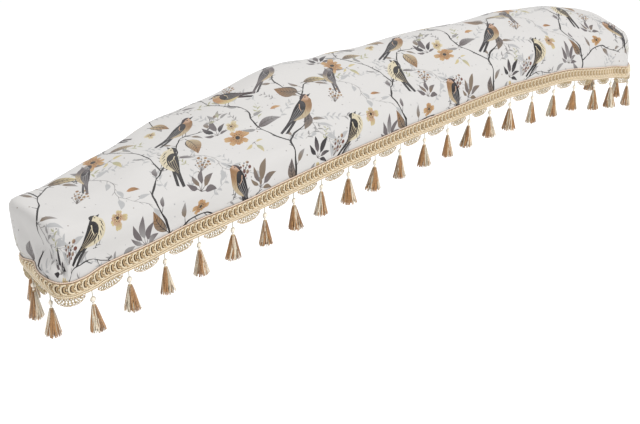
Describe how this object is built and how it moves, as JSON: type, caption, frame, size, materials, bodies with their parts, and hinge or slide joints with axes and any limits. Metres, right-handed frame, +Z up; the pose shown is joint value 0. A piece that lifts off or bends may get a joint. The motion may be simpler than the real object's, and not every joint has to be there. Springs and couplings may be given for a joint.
{
  "type": "guzheng dust cover",
  "caption": "Long fitted cloth cover with an arched top, hanging side walls, a woven braid round the hem, a scalloped lace edge and beaded tassels.",
  "frame": {"origin": "on the inner face of the cloth under the middle of the top, where the instrument's top carries it", "axes": "+X along the length towards the instrument's tail end, -Y towards the player's side, +Z up"},
  "size_m": [1.7842, 0.4195, 0.2739],
  "materials": {
    "printed_cloth": "pale grey smooth cloth with a soft sheen, printed with birds, branches and flowers",
    "braid": "woven gold and cream braid with raised loops",
    "lace": "dull gold looped cord lace",
    "tassel": "soft golden brown and cream yarn with a pearl bead"
  },
  "bodies": {
    "root": {"cover_cloth": "printed_cloth", "braid": "braid", "lace": "lace", "tassel_01": "tassel", "tassel_02": "tassel", "tassel_03": "tassel", "tassel_04": "tassel", "tassel_05": "tassel", "tassel_06": "tassel", "tassel_07": "tassel", "tassel_08": "tassel", "tassel_09": "tassel", "tassel_10": "tassel", "tassel_11": "tassel", "tassel_12": "tassel", "tassel_13": "tassel", "tassel_14": "tassel", "tassel_15": "tassel", "tassel_16": "tassel", "tassel_17": "tassel", "tassel_18": "tassel", "tassel_19": "tassel", "tassel_20": "tassel", "tassel_21": "tassel", "tassel_22": "tassel", "tassel_23": "tassel", "tassel_24": "tassel", "tassel_25": "tassel", "tassel_26": "tassel", "tassel_27": "tassel", "tassel_28": "tassel", "tassel_29": "tassel", "tassel_30": "tassel", "tassel_31": "tassel", "tassel_32": "tassel", "tassel_33": "tassel", "tassel_34": "tassel", "tassel_35": "tassel", "tassel_36": "tassel", "tassel_37": "tassel", "tassel_38": "tassel", "tassel_39": "tassel", "tassel_40": "tassel", "tassel_41": "tassel", "tassel_42": "tassel", "tassel_43": "tassel", "tassel_44": "tassel", "tassel_45": "tassel", "tassel_46": "tassel", "tassel_47": "tassel", "tassel_48": "tassel", "tassel_49": "tassel", "tassel_50": "tassel"}
  },
  "joints": []
}
